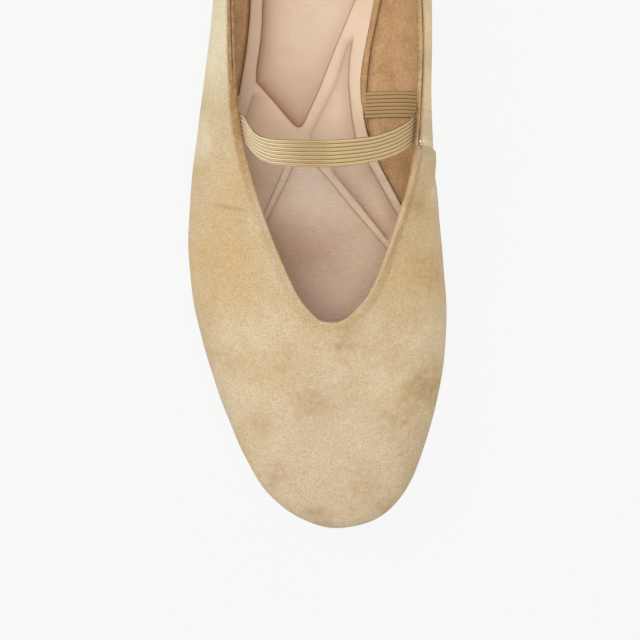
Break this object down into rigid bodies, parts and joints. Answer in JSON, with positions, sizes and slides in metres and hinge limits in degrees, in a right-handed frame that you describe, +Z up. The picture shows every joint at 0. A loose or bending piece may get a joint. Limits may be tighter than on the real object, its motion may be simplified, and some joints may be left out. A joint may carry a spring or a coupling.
{
  "type": "ballet flat",
  "caption": "Ballet flat for the right foot: hollow suede upper with a V-shaped throat, ribbed elastic band over the instep, moulded footbed, thin sole and low heel.",
  "frame": {"origin": "on the ground under the middle of the shoe's box, midway between toe tip and heel back", "axes": "+Z up, +Y from the toe to the heel, +X towards the inner side of the right foot"},
  "size_m": [0.0834, 0.25, 0.0606],
  "materials": {
    "suede": "brushed nap, matte",
    "lining": "napped lining, matte",
    "elastic": "woven ribs, matte",
    "footbed": "smooth, satin",
    "thread": "matte",
    "sole": "matte",
    "heel_stack": "matte"
  },
  "bodies": {
    "root": {"upper": "suede", "strap": "elastic", "insole": "footbed", "outsole": "sole", "heel": "heel_stack"}
  },
  "joints": []
}
